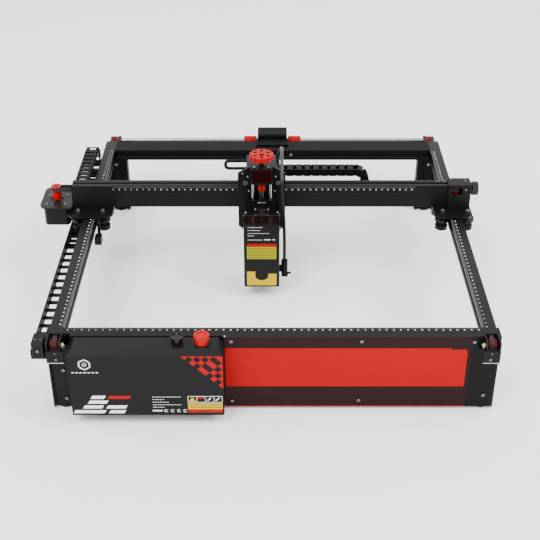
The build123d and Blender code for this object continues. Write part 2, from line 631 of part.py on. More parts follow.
def z_knob():
    """Scalloped hand wheel with six holes and the collar under the upper block."""
    c = CARRIAGE_X
    wheel = upright(c, SCREW_Y, KNOB_R, *KNOB_Z)
    count = 12
    scallops = [
        upright(c + 21.5 * cos(a), SCREW_Y + 21.5 * sin(a), 3.4, KNOB_Z[0] - 1, KNOB_Z[1] + 1)
        for a in (2 * pi * i / count for i in range(count))
    ]
    holes = [
        upright(c + 12 * cos(a), SCREW_Y + 12 * sin(a), 3.0, KNOB_Z[0] - 1, KNOB_Z[1] + 1)
        for a in (2 * pi * (i + 0.5) / 6 for i in range(6))
    ]
    wheel = wheel.cut(*scallops, *holes) + upright(c, SCREW_Y, 7.0, 226.0, KNOB_Z[0])
    wheel -= upright(c, SCREW_Y, SHAFT_R, 220, 245)
    collar = upright(c, SCREW_Y, 6.4, 173.6, 184.0) - upright(c, SCREW_Y, SHAFT_R, 170, 190)
    return [wheel, collar]


# ---- laser head ----
def z_carrier():
    """Block that slides on the guide rods, with the lead screw's flanged nut on top."""
    c = CARRIAGE_X
    body = block((c - 22, c + 22), (SINK_REAR, 50.6), (124.0, 156.0))
    body += upright(c, SCREW_Y, 6.5, 155.0, 158.0) & block((c - 7, c + 7), (38, 50.6), (150, 160))
    bores = [upright(c + s * ROD_DX, SCREW_Y, ROD_R + RUN, 120, 160) for s in (-1, 1)]
    return [body.cut(upright(c, SCREW_Y, SHAFT_R + RUN, 120, 160), *bores)]


def laser_housing():
    """Front casing of the laser head, closed at the top by a flat plate, open below for the beam."""
    c = CARRIAGE_X
    x = (c - HEAD_W / 2, c + HEAD_W / 2)
    case = chamfer(block(x, HEAD_Y, HEAD_Z).edges().filter_by(Axis.Z).group_by(Axis.Y)[0], 1.2)
    return [case - block((x[0] + 3, x[1] - 3), (HEAD_Y[0] + 3, HEAD_Y[1] - 3), (HEAD_Z[0] - 1, 60.0))]


def laser_lens():
    """Lens barrel under the head."""
    c = CARRIAGE_X
    return [upright(c, -1.8, 9.0, 26.0, 60.0) - upright(c, -1.8, 4.0, 25.0, 34.0)]


def heat_sink():
    """Finned block behind the casing with the fan's frame let into its top."""
    c = CARRIAGE_X
    x, top = (c - HEAD_W / 2 + 1, c + HEAD_W / 2 - 1), HEAD_Z[1]
    sink = block(x, (HEAD_Y[1], SINK_REAR), (HEAD_Z[0] + 3, top))
    count = 9
    pitch = (x[1] - x[0]) / count
    gaps = [
        block((x[0] + i * pitch - 1.3, x[0] + i * pitch + 1.3), (HEAD_Y[1] + 8, SINK_REAR + 1), (0, 119.0))
        for i in range(1, count)
    ]
    mid_y = (HEAD_Y[1] + SINK_REAR) / 2
    pocket = upright(c, mid_y, FAN / 2 - 1, top - 10, top + 1)
    sink = sink.cut(*gaps, pocket)
    return [sink + upright(c, mid_y, 2.0, top - 11, top - 3)]


def fan_rotor():
    """Seven-blade cooling fan rotor."""
    mid_y = (HEAD_Y[1] + SINK_REAR) / 2
    hub = upright(0, 0, 5.0, -7.0, 0.0)
    blade = Pos(7.6, 0, -3.5) * Rot(35, 0, 0) * Box(6.0, 6.0, 1.0)
    rotor = hub.fuse(*[Rot(0, 0, 360 / 7 * i) * blade for i in range(7)])
    rotor -= upright(0, 0, 2.0 + RUN, -9.0, -2.0)
    return [Pos(CARRIAGE_X, mid_y, HEAD_Z[1] - 0.8) * rotor]


def air_nozzle():
    """Air-assist connector and outlet beside the head, on a clip."""
    x = CARRIAGE_X + 38.0
    clip = block((CARRIAGE_X + HEAD_W / 2, x - 5), (-8.0, 2.0), (46.0, 54.0))
    connector = upright(x, -3.0, 5.4, 42.0, 66.0)
    outlet = across(-3.0, 38.0, 4.4, x - 5, x + 11) + upright(x, -3.0, 4.0, 36.0, 42.0)
    return [clip + block((x - 6, x), (-6.0, 0.0), (46.0, 54.0)) + connector + outlet]


HOSE_R = 2.7
HOSE_ROUTE = [
    (CARRIAGE_X + 38.0, -3.0, 66.0), (CARRIAGE_X + 38.0, -3.0, 92.0), (CARRIAGE_X + 37.5, -1.5, 120.0),
    (CARRIAGE_X + 36.0, 4.0, 150.0), (CARRIAGE_X + 34.0, 14.0, 182.0), (CARRIAGE_X + 33.0, 28.0, 210.0),
    (CARRIAGE_X + 33.0, 48.0, 232.0), (CARRIAGE_X + 33.3, 74.0, 236.0), (CARRIAGE_X + 32.6, 94.0, 225.0),
    (CARRIAGE_X + 29.5, 104.0, 212.0), (CARRIAGE_X + 25.5, 107.0, 202.4),
]


def air_hose():
    """Hose from the air connector up beside the head and over to the chain's end."""
    points = [Vector(*p) for p in HOSE_ROUTE]
    radii = []
    for before, corner, after in zip(points, points[1:], points[2:]):
        turn = (corner - before).get_angle(after - corner)
        shorter = min((corner - before).length, (after - corner).length)
        radii.append(0.45 * shorter / abs(sin(turn * pi / 360) / cos(turn * pi / 360)))
    path = FilletPolyline(*points, radius=radii)
    section = Plane(origin=points[0], z_dir=points[1] - points[0]) * Circle(HOSE_R)
    return [sweep(section, path=path)]


def hose_guide():
    """Bent rod loop behind the carriage's left side."""
    c, y = CARRIAGE_X, 108.0
    corners = [(c - 22, 195.0), (c - 62, 195.0), (c - 62, 181.0), (c - 22, 181.0)]
    path = FilletPolyline(*[(x, y, z) for x, z in corners], radius=6.5)
    section = Plane(origin=(c - 22, y, 195.0), z_dir=(-1, 0, 0)) * Circle(2.7)
    return [sweep(section, path=path) + block((c - 26, c - 19), (y - 4, y + 4), (177.0, 198.0))]


# ---- drag chains ----
def x_chain_upper():
    """Upper run of the X chain, from the carriage to the bend."""
    z = (X_CHAIN_TOP - CHAIN_T, X_CHAIN_TOP)
    links = [block(x, X_CHAIN_Y, z) for x in link_run(CARRIAGE_X + 27.0, X_CHAIN_BEND)]
    return [hollow_link(link, "x") for link in links]


def x_chain_bend():
    """Bend and lower run of the X chain."""
    outer = (X_CHAIN_TOP - X_CHAIN_FLOOR) / 2
    mid_z = (X_CHAIN_TOP + X_CHAIN_FLOOR) / 2
    ring = rod("y", (0, 0, 0), outer, 20.0) - rod("y", (0, 0, 0), outer - CHAIN_T, 22.0)
    ring &= block((0, 50), (-20, 20), (-50, 50))
    z = (X_CHAIN_FLOOR, X_CHAIN_FLOOR + CHAIN_T)
    lower = [block(x, X_CHAIN_Y, z) for x in link_run(X_CHAIN_BEND - X_CHAIN_LOWER, X_CHAIN_BEND)]
    return [Pos(X_CHAIN_BEND, sum(X_CHAIN_Y) / 2, mid_z) * ring] + [hollow_link(link, "x") for link in lower]


def y_chain_upper():
    """Upper run of the Y chain, from the gantry to the bend."""
    z = (Y_CHAIN_TOP - Y_CHAIN_T, Y_CHAIN_TOP)
    links = [block(Y_CHAIN_X, y, z) for y in link_run(118.5, Y_CHAIN_BEND)]
    return [hollow_link(link, "y") for link in links]


def y_chain_bend():
    """Bend and lower run of the Y chain."""
    outer = (Y_CHAIN_TOP - Y_CHAIN_FLOOR) / 2
    mid_z = (Y_CHAIN_TOP + Y_CHAIN_FLOOR) / 2
    width = Y_CHAIN_X[1] - Y_CHAIN_X[0]
    ring = rod("x", (0, 0, 0), outer, width) - rod("x", (0, 0, 0), outer - Y_CHAIN_T, width + 2)
    ring &= block((-20, 20), (0, 50), (-50, 50))
    z = (Y_CHAIN_FLOOR, Y_CHAIN_FLOOR + Y_CHAIN_T)
    lower = [block(Y_CHAIN_X, y, z) for y in link_run(Y_CHAIN_BEND - Y_CHAIN_LOWER, Y_CHAIN_BEND)]
    return [Pos(sum(Y_CHAIN_X) / 2, Y_CHAIN_BEND, mid_z) * ring] + [hollow_link(link, "y") for link in lower]


def hollow_link(link, along):
    """Chain link: a rectangular tube with 2 mm walls."""
    box = link.bounding_box()
    low, high = box.min, box.max
    t = 2.0
    if along == "x":
        return link - block((low.X - 1, high.X + 1), (low.Y + t, high.Y - t), (low.Z + t, high.Z - t))
    return link - block((low.X + t, high.X - t), (low.Y - 1, high.Y + 1), (low.Z + t, high.Z - t))


PIECES = [
    front_housing, front_panel, control_box_cover, control_board, emergency_stop, key_switch, y_rails,
    rear_frame,
    rubber_feet, cable_tray, y_motor, frame_brackets, y_belts, frame_screws, sync_shaft,
    shaft_pulleys, gantry_beam, gantry_end_blocks, carriage_plates, motor_plate, x_motor, x_belt, wheel_bolts,
    wheel_discs, x_motor_pulley, x_idler, tension_knob, carriage_plate, carriage_bolts, hose_guide,
    slide_blocks, guide_rods, lead_screw, z_knob, z_carrier, laser_housing, laser_lens, heat_sink,
    fan_rotor, air_nozzle, air_hose, x_chain_upper, x_chain_bend, y_chain_upper, y_chain_bend,
]

for make in PIECES:
    parts[make.__name__] = make()
parts["red_window"] = [window_shape(0.0)]
for side_name, side in (("left", -1), ("right", 1)):
    parts[f"front_idler_{side_name}"] = front_idler(side)
for name, x, y in wheel_places():
    parts[name] = [v_wheel((x, y, WHEEL_Z))]
for name, x, z in x_wheel_places():
    parts[name] = [v_wheel((x, 70.0, z), "y")]

os.makedirs("parts", exist_ok=True)
for name, solids in parts.items():
    shape = solids[0] if len(solids) == 1 else Compound(children=list(solids))
    shape.label = name
    export_step(FOOTPRINT * shape, f"parts/{name}.step")
print(len(parts), "nodes")
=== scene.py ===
"""Looks of the desktop laser cutter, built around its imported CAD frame.

Coordinates are machine millimetres (X = 0 machine centre, Y = 0 middle of the work area, Z = 0 ground), which
row() turns into metres in the frame."""
import math
import bpy
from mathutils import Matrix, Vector


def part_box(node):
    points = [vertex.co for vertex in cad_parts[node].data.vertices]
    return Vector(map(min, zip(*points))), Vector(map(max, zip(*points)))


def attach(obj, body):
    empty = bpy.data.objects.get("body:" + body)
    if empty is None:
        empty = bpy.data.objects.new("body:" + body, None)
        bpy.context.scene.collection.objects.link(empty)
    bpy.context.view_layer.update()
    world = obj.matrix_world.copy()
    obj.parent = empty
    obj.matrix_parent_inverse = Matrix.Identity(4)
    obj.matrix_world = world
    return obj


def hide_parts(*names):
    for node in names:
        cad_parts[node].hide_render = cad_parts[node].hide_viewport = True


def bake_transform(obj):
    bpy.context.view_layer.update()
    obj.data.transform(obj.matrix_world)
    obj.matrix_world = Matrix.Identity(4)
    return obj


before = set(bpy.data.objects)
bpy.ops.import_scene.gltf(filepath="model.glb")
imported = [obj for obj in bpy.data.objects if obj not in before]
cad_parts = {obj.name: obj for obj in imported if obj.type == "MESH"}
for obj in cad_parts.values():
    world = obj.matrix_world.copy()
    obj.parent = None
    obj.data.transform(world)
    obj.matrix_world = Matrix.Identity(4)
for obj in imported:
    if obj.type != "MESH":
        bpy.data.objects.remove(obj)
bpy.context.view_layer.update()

X, Y, Z = Vector((1, 0, 0)), Vector((0, 1, 0)), Vector((0, 0, 1))
ROW_SHIFT = Vector((23.0, -13.75, 0.0))  # machine millimetres to the frame's own origin
MM = 0.001
CARRIAGE = -18.3                         # X of the carriage's middle at rest
X_MOTOR = (-364.5, 70.0)                 # X and Y of the X motor's shaft
RAIL_TOP = 129.0                         # top of the rails and of the front edge
BEAM_FACE = 60.0                         # Y of the gantry beam's front
BOX_FACE = -341.5                        # Y of the control box's front
PANEL_FACE = -307.5                      # Y of the front panel
PLATE_FACE = 52.0                        # Y of the carriage plate's front
HEAD_FACE = -16.5                        # Y of the laser head's front
HEAD_TOP = 140.6
PROUD = 0.12                             # printed marks stand this far off the surface
FAINT = 0.05                             # and marks printed over other marks this far off those
EXPOSURE = 2.6                           # lamps are this much brighter than usual, and finishes darker


def row(point):
    """Machine millimetres to metres in the frame."""
    return (Vector(point) + ROW_SHIFT) * MM


# ---- camera, light and floor ----
def camera():
    data = bpy.data.cameras.new("camera")
    data.sensor_width, data.lens = 36.0, 69.33
    data.clip_start, data.clip_end = 0.05, 50.0
    cam = bpy.data.objects.new("camera", data)
    cam.location = row((-4.5, -1481.5, 988.0))
    tilt_down = 32.5
    cam.rotation_euler = (math.radians(90.0 - tilt_down), 0.0, 0.0)
    bpy.context.scene.collection.objects.link(cam)
    bpy.context.scene.camera = cam


def area_light(name, place, aim, size, power):
    data = bpy.data.lights.new(name, "AREA")
    data.shape, data.size, data.energy = "DISK", size, power
    lamp = bpy.data.objects.new(name, data)
    lamp.location = place
    lamp.rotation_mode = "QUATERNION"
    lamp.rotation_quaternion = (Vector(aim) - Vector(place)).to_track_quat("-Z", "Y")
    bpy.context.scene.collection.objects.link(lamp)


def studio():
    """White surroundings, two soft lamps from the front and a white floor."""
    world = bpy.data.worlds.new("studio")
    world.use_nodes = True
    sky = world.node_tree.nodes["Background"]
    sky.inputs["Color"].default_value = (1, 1, 1, 1)
    sky.inputs["Strength"].default_value = 0.75 * EXPOSURE
    bpy.context.scene.world = world
    aim, size = (0, 0, 0.1), 1.6
    area_light("key", (-1.2, -1.6, 2.6), aim, size, 26 * EXPOSURE)
    area_light("fill", (1.8, -0.6, 2.2), aim, size, 20 * EXPOSURE)
    mesh = bpy.data.meshes.new("floor")
    half = 12.0
    corners = [(-half, -half, 0), (half, -half, 0), (half, half, 0), (-half, half, 0)]
    mesh.from_pydata(corners, [], [(0, 1, 2, 3)])
    floor = bpy.data.objects.new("floor", mesh)
    bpy.context.scene.collection.objects.link(floor)
    mesh.materials.append(surface("floor_white", (0.97, 0.97, 0.97), 0.9, specular=0.0, grain=40, mottle=0.01,
                                  bump=0.0, edge=None, dim=1.0))


# ---- materials ----
def surface(name, colour, rough, metal=0.0, specular=0.5, grain=900, mottle=0.08, bump=0.05, edge=0.35,
            coat=0.0, brushed=None, dim=EXPOSURE):
    """Procedural finish: fine grain in colour, gloss and bump, with edges softened and lightened, partly as
    wear and partly as a painted highlight.

    colour and specular are as seen under normal light, and dim scales them to the bright studio. brushed is
    the grain's scale along each axis."""
    mat = bpy.data.materials.new(name)
    mat.use_nodes = True
    nodes, links = mat.node_tree.nodes, mat.node_tree.links
    shader = nodes["Principled BSDF"]
    colour = [c / dim for c in colour]
    shader.inputs["Metallic"].default_value = metal
    shader.inputs["Specular IOR Level"].default_value = specular / (dim if metal < 1 else 1)
    shader.inputs["Coat Weight"].default_value = coat
    shader.inputs["Coat Roughness"].default_value = 0.08
    place = nodes.new("ShaderNodeTexCoord")
    stretch = nodes.new("ShaderNodeMapping")
    stretch.inputs["Scale"].default_value = brushed or (1, 1, 1)
    links.new(place.outputs["Object"], stretch.inputs["Vector"])
    fine, broad = nodes.new("ShaderNodeTexNoise"), nodes.new("ShaderNodeTexNoise")
    fine.inputs["Scale"].default_value, fine.inputs["Detail"].default_value = grain, 3
    broad.inputs["Scale"].default_value, broad.inputs["Detail"].default_value = 14, 4
    links.new(stretch.outputs["Vector"], fine.inputs["Vector"])
    links.new(place.outputs["Object"], broad.inputs["Vector"])
    both = nodes.new("ShaderNodeMath")
    both.operation = "MULTIPLY"
    links.new(fine.outputs["Fac"], both.inputs[0])
    links.new(broad.outputs["Fac"], both.inputs[1])
    tint = nodes.new("ShaderNodeMapRange")
    tint.inputs["From Min"].default_value, tint.inputs["From Max"].default_value = 0.1, 0.45
    links.new(both.outputs[0], tint.inputs["Value"])
    mix = nodes.new("ShaderNodeMix")
    mix.data_type = "RGBA"
    links.new(tint.outputs["Result"], mix.inputs["Factor"])
    mix.inputs["A"].default_value = [c * (1 - mottle) for c in colour] + [1]
    mix.inputs["B"].default_value = [min(1, c * (1 + mottle)) for c in colour] + [1]
    gloss = nodes.new("ShaderNodeMapRange")
    gloss.inputs["To Min"].default_value = max(0.02, rough - 0.06)
    gloss.inputs["To Max"].default_value = min(1, rough + 0.06)
    links.new(fine.outputs["Fac"], gloss.inputs["Value"])
    links.new(gloss.outputs["Result"], shader.inputs["Roughness"])
    colour_out = mix.outputs["Result"]
    normal = None
    # Edges painted lighter by up to edge: partly wear, partly a painted highlight along the rims.
    if edge is not None:
        soften = nodes.new("ShaderNodeBevel")
        soften.samples = 4
        soften.inputs["Radius"].default_value = 0.6 * MM
        normal = soften.outputs["Normal"]
        flat = nodes.new("ShaderNodeNewGeometry")
        dot = nodes.new("ShaderNodeVectorMath")
        dot.operation = "DOT_PRODUCT"
        links.new(normal, dot.inputs[0])
        links.new(flat.outputs["Normal"], dot.inputs[1])
        edge_wear_and_highlight = nodes.new("ShaderNodeMapRange")
        edge_wear_and_highlight.inputs["From Min"].default_value, edge_wear_and_highlight.inputs["From Max"].default_value = 0.995, 0.86
        edge_wear_and_highlight.inputs["To Min"].default_value, edge_wear_and_highlight.inputs["To Max"].default_value = 0.0, edge
        links.new(dot.outputs["Value"], edge_wear_and_highlight.inputs["Value"])
        lift = nodes.new("ShaderNodeMix")
        lift.data_type = "RGBA"
        links.new(edge_wear_and_highlight.outputs["Result"], lift.inputs["Factor"])
        links.new(colour_out, lift.inputs["A"])
        lift.inputs["B"].default_value = [min(1, c * 1.6 + 0.05 / dim) for c in colour] + [1]
        colour_out = lift.outputs["Result"]
    if bump:
        relief = nodes.new("ShaderNodeBump")
        relief.inputs["Strength"].default_value, relief.inputs["Distance"].default_value = bump, 0.2 * MM
        links.new(fine.outputs["Fac"], relief.inputs["Height"])
        if normal:
            links.new(normal, relief.inputs["Normal"])
        normal = relief.outputs["Normal"]
    if normal:
        links.new(normal, shader.inputs["Normal"])
    links.new(colour_out, shader.inputs["Base Color"])
    return mat


def two_tone(mat, axis, start, end, other):
    """Fades a finish to another colour between two places along an axis of the frame, in metres."""
    nodes, links = mat.node_tree.nodes, mat.node_tree.links
    shader = nodes["Principled BSDF"]
    source = shader.inputs["Base Color"].links[0].from_socket
    place = next(n for n in nodes if n.type == "TEX_COORD")
    split, fade = nodes.new("ShaderNodeSeparateXYZ"), nodes.new("ShaderNodeMapRange")
    mix = nodes.new("ShaderNodeMix")
    links.new(place.outputs["Object"], split.inputs[0])
    links.new(split.outputs[axis], fade.inputs["Value"])
    fade.inputs["From Min"].default_value, fade.inputs["From Max"].default_value = start, end
    mix.data_type = "RGBA"
    links.new(fade.outputs["Result"], mix.inputs["Factor"])
    links.new(source, mix.inputs["A"])
    mix.inputs["B"].default_value = (*other, 1)
    links.new(mix.outputs["Result"], shader.inputs["Base Color"])
    return mat


def panel_finish():
    """Dark smoky acrylic: brown-red where the work area glows through, black right of the window."""
    mat = surface("smoked_acrylic", (0.036, 0.008, 0.010), 0.2, specular=0.25, grain=300, bump=0.0, edge=0.3)
    return two_tone(mat, "X", 0.3005, 0.3035, (0.0026, 0.0026, 0.0028))


def hose_finish():
    """Black hose, painted lighter where it arches over the carriage as a painted highlight, and painted
    darker again behind it as painted shade.
    """
    mat = surface("hose", (0.010, 0.010, 0.010), 0.3, specular=0.5, grain=700, edge=None)
    # Painted highlight: lighter grey on the arch's top.
    mat = two_tone(mat, "Z", 0.198, 0.206, (0.040, 0.042, 0.044))
    # Painted shade: darker than the hose's own black behind the carriage.
    return two_tone(mat, "Y", 0.050, 0.060, (0.004, 0.004, 0.004))


def lead_screw_finish():
    """Bare screw, red at its end in the hand wheel."""
    mat = surface("lead_screw_steel", (0.2, 0.2, 0.2), 0.3, metal=1.0, grain=2000, dim=3.0)
    return two_tone(mat, "Z", 0.2295, 0.2305, (0.34, 0.0004, 0.001))


M = {}


def materials():
    """Fills M, and gives each CAD node a finish. Nodes not listed are wheels and pulleys."""
    M.update(
        black=surface("black_powder_coat", (0.013, 0.013, 0.0135), 0.46, specular=0.3),
        anodised=surface("black_anodised", (0.012, 0.012, 0.0125), 0.38, specular=0.32, grain=1400,
                         brushed=(0.03, 1, 1), bump=0.03),
        rail=surface("black_anodised_rail", (0.012, 0.012, 0.0125), 0.38, specular=0.32, grain=1400,
                     brushed=(1, 0.03, 1), bump=0.03),
        plate=surface("black_plate", (0.011, 0.011, 0.0115), 0.34, specular=0.32, grain=1200),
        dark=surface("black_anodised_beam", (0.009, 0.009, 0.0095), 0.5, specular=0.14, grain=1400,
                     brushed=(0.03, 1, 1), bump=0.03),
        grey=surface("grey_plate", (0.024, 0.025, 0.026), 0.32, specular=0.36, grain=1200),
        plastic=surface("black_plastic", (0.008, 0.008, 0.0085), 0.5, specular=0.3, grain=1800, bump=0.12),
        rubber=surface("rubber", (0.009, 0.009, 0.009), 0.7, specular=0.25, grain=1600, bump=0.1),
        wheel=surface("wheel_polymer", (0.006, 0.006, 0.0065), 0.33, specular=0.5, grain=1600),
        motor=surface("motor_case", (0.013, 0.013, 0.0135), 0.42, specular=0.3, grain=1500, bump=0.04),
        # Darker copy of motor_case: painted shade on the rear motor.
        rear_motor=surface("rear_motor_case", (0.006, 0.006, 0.0065), 0.45, specular=0.1, grain=1500,
                           bump=0.04),
        steel=surface("polished_steel", (0.62, 0.62, 0.63), 0.2, metal=1.0, grain=1600, brushed=(1, 1, 0.05),
                      dim=1.6),
        bolt=surface("bolt_steel", (0.60, 0.59, 0.56), 0.3, metal=1.0, grain=2000, dim=1.5),
        dark_bolt=surface("dark_bolt_steel", (0.34, 0.33, 0.31), 0.24, metal=1.0, grain=2000, dim=2.0),
        brassy=surface("plated_nut", (0.62, 0.58, 0.46), 0.24, metal=1.0, grain=2000, dim=1.8),
        screw=lead_screw_finish(),
        knob=surface("knurled_metal", (0.045, 0.045, 0.045), 0.42, metal=0.3, grain=2000, dim=2.5),
        sink=surface("heat_sink", (0.009, 0.009, 0.0095), 0.42, specular=0.35, grain=1500),
        head=surface("head_case", (0.018, 0.018, 0.0185), 0.42, specular=0.3, grain=1600),
        red=surface("red_anodised", (0.9, 0.001, 0.003), 0.34, specular=0.35, grain=1400, edge=0.12,
                    mottle=0.05, dim=3.0),
        # Red anodised dimmed further: painted shade on the idlers.
        wine=surface("red_anodised_shade", (0.9, 0.02, 0.025), 0.4, specular=0.3, grain=1400, mottle=0.05,
                     dim=6.5),
        cap=surface("red_plastic", (0.98, 0.001, 0.003), 0.28, specular=0.4, grain=900, edge=0.1, mottle=0.03,
                    dim=2.8),
        window=surface("red_acrylic", (1.0, 0.001, 0.003), 0.2, specular=0.2, grain=160, bump=0.0, edge=0.1,
                       mottle=0.03, dim=3.0),
        smoke=panel_finish(),
        dark_red=surface("dark_red_acrylic", (0.035, 0.004, 0.005), 0.12, specular=0.35, grain=300, bump=0.0),
        key=surface("key_knob", (0.022, 0.009, 0.006), 0.16, specular=0.5, coat=0.1, grain=900, bump=0.0),
        glass=surface("lens_glass", (0.05, 0.03, 0.10), 0.05, specular=0.7, coat=1.0, grain=300, bump=0.0),
        board=surface("circuit_board", (0.01, 0.12, 0.04), 0.35, grain=700, mottle=0.2),
        white=surface("white_print", (0.85, 0.85, 0.85), 0.6, specular=0.2, grain=1500, edge=None,
                      mottle=0.04, dim=1.0),
        grey_print=surface("grey_print", (0.17, 0.17, 0.17), 0.6, specular=0.2, grain=1500, edge=None,
                           mottle=0.04, dim=1.0),
        yellow=surface("yellow_print", (1.0, 0.66, 0.002), 0.45, specular=0.2, grain=1200, edge=None,
                       mottle=0.02, dim=1.8),
        lime=surface("lime_print", (0.66, 0.64, 0.002), 0.5, specular=0.2, grain=1200, edge=None, mottle=0.06,
                     dim=2.0),
        print_red=surface("red_print", (1.0, 0.001, 0.003), 0.45, specular=0.25, grain=1200, edge=None,
                          mottle=0.04, dim=2.9),
        print_dark=surface("dark_print", (0.05, 0.045, 0.012), 0.55, grain=1200, edge=None),
        hose=hose_finish(),
        belt=surface("grey_belt", (0.06, 0.058, 0.055), 0.7, specular=0.2, grain=1500, bump=0.15, edge=None),
        smoke_head=surface("head_smoked_acrylic", (0.022, 0.008, 0.008), 0.18, specular=0.3, grain=300,
                           bump=0.0),
    )
    finishes = {
        "dark": "rear_frame",
        "black": "front_housing frame_brackets cable_tray gantry_end_blocks control_box_cover",
        "anodised": "gantry_beam",
        "rail": "y_rails",
        "plate": "carriage_plates carriage_plate slide_blocks z_carrier",
        "grey": "motor_plate",
        "plastic": "x_chain_upper x_chain_bend y_chain_upper y_chain_bend hose_guide air_nozzle fan_rotor",
        "rubber": "rubber_feet",
        "belt": "x_belt y_belts",
        "motor": "x_motor wheel_discs",
        # The rear motor gets the darker case, as painted shade.
        "rear_motor": "y_motor",
        "steel": "sync_shaft guide_rods",
        "screw": "lead_screw",
        "dark_bolt": "carriage_bolts frame_screws",
        "brassy": "wheel_bolts",
        "knob": "tension_knob",
        "sink": "heat_sink",
        "head": "laser_housing",
        "red": "shaft_pulleys x_motor_pulley z_knob",
        # The idlers get the dimmed red, as painted shade.
        "wine": "front_idler_left front_idler_right x_idler",
        "cap": "emergency_stop",
        "window": "red_window",
        "smoke": "front_panel",
        "key": "key_switch",
        "glass": "laser_lens",
        "board": "control_board",
        "hose": "air_hose",
    }
    chosen = {node: M[key] for key, names in finishes.items() for node in names.split()}
    for name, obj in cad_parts.items():
        finish = chosen.get(name, M["wheel"])
        for slot in obj.material_slots:
            slot.material = finish


# ---- mesh building ----
class Shape:
    """Closed solids in machine millimetres, gathered into one mesh."""

    def __init__(self):
        self.verts, self.faces = [], []

    def add(self, verts, faces):
        base = len(self.verts)
        self.verts += [Vector(v) for v in verts]
        self.faces += [[base + i for i in face] for face in faces]

    def prism(self, outline, origin, u, v, depth):
        """Outline given in the axes u and v from origin, extruded along u x v."""
        normal = u.cross(v)
        low = [Vector(origin) + u * a + v * b for a, b in outline]
        count = len(low)
        walls = [[i, (i + 1) % count, (i + 1) % count + count, i + count] for i in range(count)]
        self.add(low + [p + normal * depth for p in low],
                 [list(range(count))[::-1], list(range(count, 2 * count))] + walls)

    def box(self, x, y, z):
        self.prism([(x[0], y[0]), (x[1], y[0]), (x[1], y[1]), (x[0], y[1])], (0, 0, z[0]), X, Y, z[1] - z[0])

    def lathe(self, centre, axis, outline, sides=24, phase=0.0):
        """Solid of revolution; outline is (radius, distance along the axis) from end to end."""
        u = axis.orthogonal().normalized()
        v = axis.cross(u)
        verts, faces = [], []
        for radius, along in outline:
            for k in range(sides):
                a = phase + 2 * math.pi * k / sides
                verts.append(Vector(centre) + axis * along + (u * math.cos(a) + v * math.sin(a)) * radius)
        for ring in range(len(outline) - 1):
            for k in range(sides):
                a, b = ring * sides + k, ring * sides + (k + 1) % sides
                faces.append([a, b, b + sides, a + sides])
        faces += [list(range(sides))[::-1], list(range(len(verts) - sides, len(verts)))]
        self.add(verts, faces)

    def rod(self, centre, axis, radius, length, sides=24):
        self.lathe(centre, axis, [(radius, 0), (radius, length)], sides)

    def line(self, a, b, origin, u, v, width, depth=PROUD):
        """Flat bar from a to b in the plane of u and v."""
        a, b = Vector(a), Vector(b)
        along = (b - a).normalized() * width / 2
        side = Vector((-along.y, along.x))
        a, b = a - along * 0.9, b + along * 0.9
        self.prism([a + side * -1, b + side * -1, b + side, a + side], origin, u, v, depth)

    def sweep(self, points, radius, sides=12):
        """Round bar along points already in millimetres."""
        rings, count = [], len(points)
        normal = None
        for i, p in enumerate(points):
            run = (points[min(i + 1, count - 1)] - points[max(i - 1, 0)]).normalized()
            normal = (normal - run * normal.dot(run) if normal else run.orthogonal()).normalized()
            other = run.cross(normal)
            rings += [p + (normal * math.cos(a) + other * math.sin(a)) * radius
                      for a in (2 * math.pi * k / sides for k in range(sides))]
        faces = []
        for i in range(count - 1):
            for k in range(sides):
                a, b = i * sides + k, i * sides + (k + 1) % sides
                faces.append([a, b, b + sides, a + sides])
        faces += [list(range(sides))[::-1], list(range(len(rings) - sides, len(rings)))]
        self.add(rings, faces)

    def piece(self, name, material, slot, body=None, bevel=0.0):
        """The shape as one named object, with bevel in millimetres, that rides on body."""
        mesh = bpy.data.meshes.new(name)
        mesh.from_pydata([row(v) for v in self.verts], [], self.faces)
        mesh.materials.append(M[material])
        for face in mesh.polygons:
            face.use_smooth = True
        mesh.set_sharp_from_angle(angle=math.radians(35))
        obj = bpy.data.objects.new(name, mesh)
        bpy.context.scene.collection.objects.link(obj)
        if bevel:
            mod = obj.modifiers.new("bevel", "BEVEL")
            mod.width, mod.segments, mod.limit_method = bevel * MM, 2, "ANGLE"
            mod.angle_limit = math.radians(40)
        if body:
            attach(obj, body)
        return obj


def one_box(name, material, slot, body, x, y, z, bevel=0.0):
    """A box from its spans in X, Y and Z, as its own piece."""
    shape = Shape()
    shape.box(x, y, z)
    shape.piece(name, material, slot, body, bevel)


DIGITS = {
    "0": [[(0, 0), (1, 0), (1, 2), (0, 2), (0, 0)]],
    "1": [[(0.1, 1.5), (0.5, 2), (0.5, 0)]],
    "2": [[(0, 2), (1, 2), (1, 1), (0, 1), (0, 0), (1, 0)]],
    "3": [[(0, 2), (1, 2), (1, 0), (0, 0)], [(0.2, 1), (1, 1)]],
    "4": [[(0, 2), (0, 1), (1, 1)], [(0.8, 2), (0.8, 0)]],
    "5": [[(1, 2), (0, 2), (0, 1), (1, 1), (1, 0), (0, 0)]],
    "6": [[(1, 2), (0, 2), (0, 0), (1, 0), (1, 1), (0, 1)]],
    "7": [[(0, 2), (1, 2), (0.4, 0)]],
    "8": [[(0, 0), (1, 0), (1, 2), (0, 2), (0, 0)], [(0, 1), (1, 1)]],
    "9": [[(0, 0), (1, 0), (1, 2), (0, 2), (0, 1), (1, 1)]],
}


